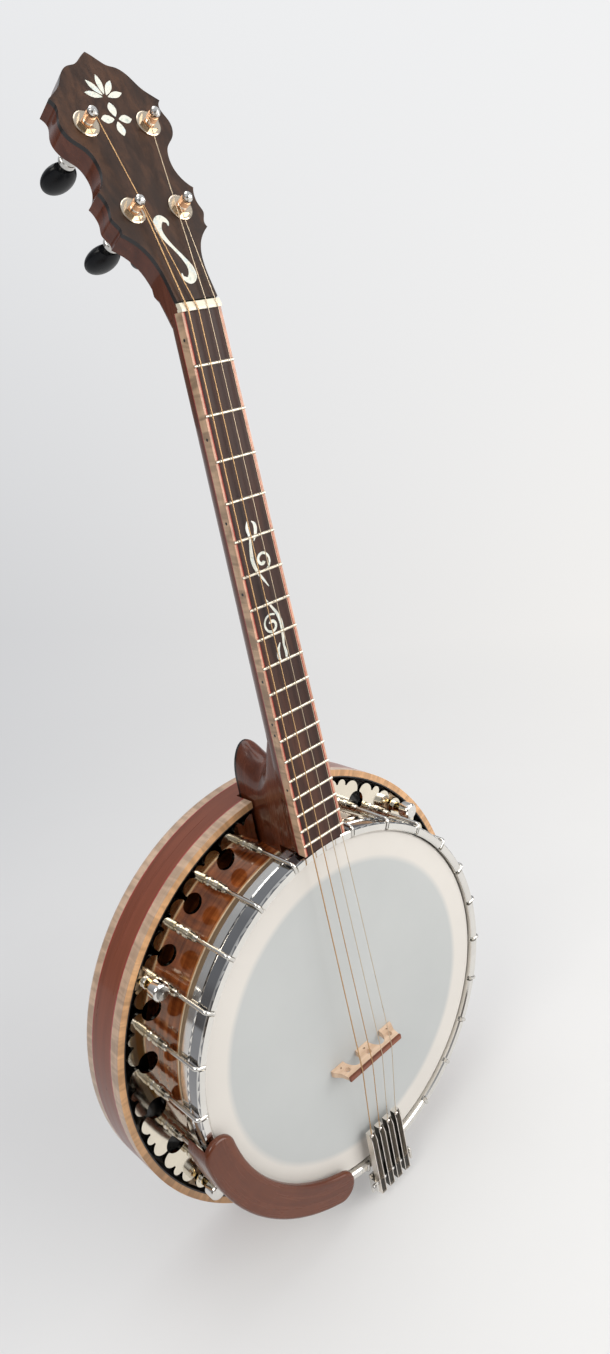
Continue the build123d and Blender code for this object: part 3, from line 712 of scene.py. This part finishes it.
def make_floor():
    """A matt floor mixed with a glow of the backdrop's painted light: about a third near the pot, which lightens
    its shadows, rising to all glow far off, where it fades into the backdrop.
    """
    look = Look("pale_floor", Roughness=0.75)
    place = look.place()
    look.colour(look.ramp(look.noise(place, 3, 3, 0.5), (0.3, (0.70, 0.70, 0.70)), (0.7, (0.74, 0.74, 0.74))))
    x, y, _ = look.parts(place)
    gaze = look.node("VectorMath", operation="SUBTRACT")
    look.join(place, gaze.inputs[0])
    gaze.inputs[1].default_value = VIEW_FROM
    far = look.math("SQRT", look.math("ADD", look.math("MULTIPLY", x, x), look.math("MULTIPLY", y, y)))
    glow = look.node("Emission")
    look.join(pale(look.tree, gaze.outputs[0]), glow.inputs[0])
    blend = look.node("MixShader")
    # painted light: the floor glows a third near the pot, softening its shadows, and wholly from 1.3 m out
    look.join(look.spread(far, 0.25, 1.3, 0.35, 1.0), blend.inputs[0])
    look.join(look.shader.outputs[0], blend.inputs[1])
    look.join(glow.outputs[0], blend.inputs[2])
    look.join(blend.outputs[0], look.tree.nodes["Material Output"].inputs[0])
    mesh = bpy.data.meshes.new("floor")
    corners = [(x * FLOOR_HALF, y * FLOOR_HALF, FLOOR_Z) for x, y in ((-1, -1), (1, -1), (1, 1), (-1, 1))]
    mesh.from_pydata(corners, [], [(0, 1, 2, 3)])
    mesh.materials.append(look.mat)
    floor = bpy.data.objects.new("floor", mesh)
    bpy.context.scene.collection.objects.link(floor)


def pale(tree, direction):
    """The backdrop's painted light in a direction: darker and cooler to the left, brighter to the right and above.
    """
    new, link = tree.nodes.new, tree.links.new
    unit = new("ShaderNodeVectorMath")
    unit.operation = "NORMALIZE"
    link(direction, unit.inputs[0])
    colour = PALE_LEFT
    for axis, low, high, reach, target in (((0.7234, -0.6672, -0.1776), -0.36, 0.36, 1.0, PALE_RIGHT),
                                           (VIEW_UP, 0.05, 0.62, 0.75, PALE_HIGH)):
        dot, span, blend = new("ShaderNodeVectorMath"), new("ShaderNodeMapRange"), new("ShaderNodeMix")
        dot.operation = "DOT_PRODUCT"
        dot.inputs[1].default_value = axis
        link(unit.outputs[0], dot.inputs[0])
        link(dot.outputs["Value"], span.inputs[0])
        for k, value in enumerate((low, high, 0.0, reach)):
            span.inputs[k + 1].default_value = value
        blend.data_type = "RGBA"
        link(span.outputs[0], blend.inputs[0])
        if isinstance(colour, tuple):
            blend.inputs[6].default_value = (*colour, 1)
        else:
            link(colour, blend.inputs[6])
        blend.inputs[7].default_value = (*target, 1)
        colour = blend.outputs[2]
    return colour


def make_world():
    """Pale to the camera; for reflections, bright above with a darker room low in front."""
    world = bpy.data.worlds.new("studio")
    bpy.context.scene.world = world
    world.use_nodes = True
    tree = world.node_tree
    tree.nodes.clear()
    new, link = tree.nodes.new, tree.links.new
    out = new("ShaderNodeOutputWorld")
    seen, room = new("ShaderNodeBackground"), new("ShaderNodeBackground")
    path, mixer = new("ShaderNodeLightPath"), new("ShaderNodeMixShader")
    coord, split, ramp = new("ShaderNodeTexCoord"), new("ShaderNodeSeparateXYZ"), new("ShaderNodeValToRGB")
    warm = new("ShaderNodeTexNoise")
    warm.inputs["Scale"].default_value = 1.3
    add = new("ShaderNodeMath")
    add.operation = "MULTIPLY_ADD"
    add.inputs[1].default_value = 0.5
    link(pale(tree, coord.outputs["Generated"]), seen.inputs[0])
    link(coord.outputs["Generated"], split.inputs[0])
    link(coord.outputs["Generated"], warm.inputs["Vector"])
    link(split.outputs[2], add.inputs[0])
    link(warm.outputs["Fac"], add.inputs[2])
    link(add.outputs[0], ramp.inputs[0])
    set_stops(ramp, [(0.05, (0.22, 0.20, 0.18)), (0.36, (0.10, 0.075, 0.055)), (0.50, (0.13, 0.11, 0.10)),
                     (0.68, (0.34, 0.35, 0.37)), (0.95, (0.62, 0.64, 0.67))])
    link(ramp.outputs[0], room.inputs[0])
    link(path.outputs["Is Camera Ray"], mixer.inputs[0])
    link(room.outputs[0], mixer.inputs[1])
    link(seen.outputs[0], mixer.inputs[2])
    link(mixer.outputs[0], out.inputs[0])


def make_light(name, at, size, power, colour):
    """A rectangular light turned towards the pot."""
    data = bpy.data.lights.new(name, "AREA")
    data.shape = "RECTANGLE"
    data.size, data.size_y = size
    data.energy = power
    data.color = colour
    light = bpy.data.objects.new(name, data)
    bpy.context.scene.collection.objects.link(light)
    light.location = at
    light.rotation_euler = (Vector((0, 0, 0.1)) - Vector(at)).to_track_quat("-Z", "Y").to_euler()


make_camera()
make_world()
make_floor()
make_light("window", (1.2, -2.1, 1.0), (2.4, 2.0), 66, (1.0, 0.985, 0.955))
make_light("left_window", (-1.4, -0.6, 1.6), (0.9, 0.9), 15, (1.0, 0.95, 0.88))
make_light("ceiling", (0.2, 0.3, 2.2), (1.8, 1.8), 16, (1.0, 0.99, 0.97))

bpy.context.scene.view_settings.view_transform = "Standard"
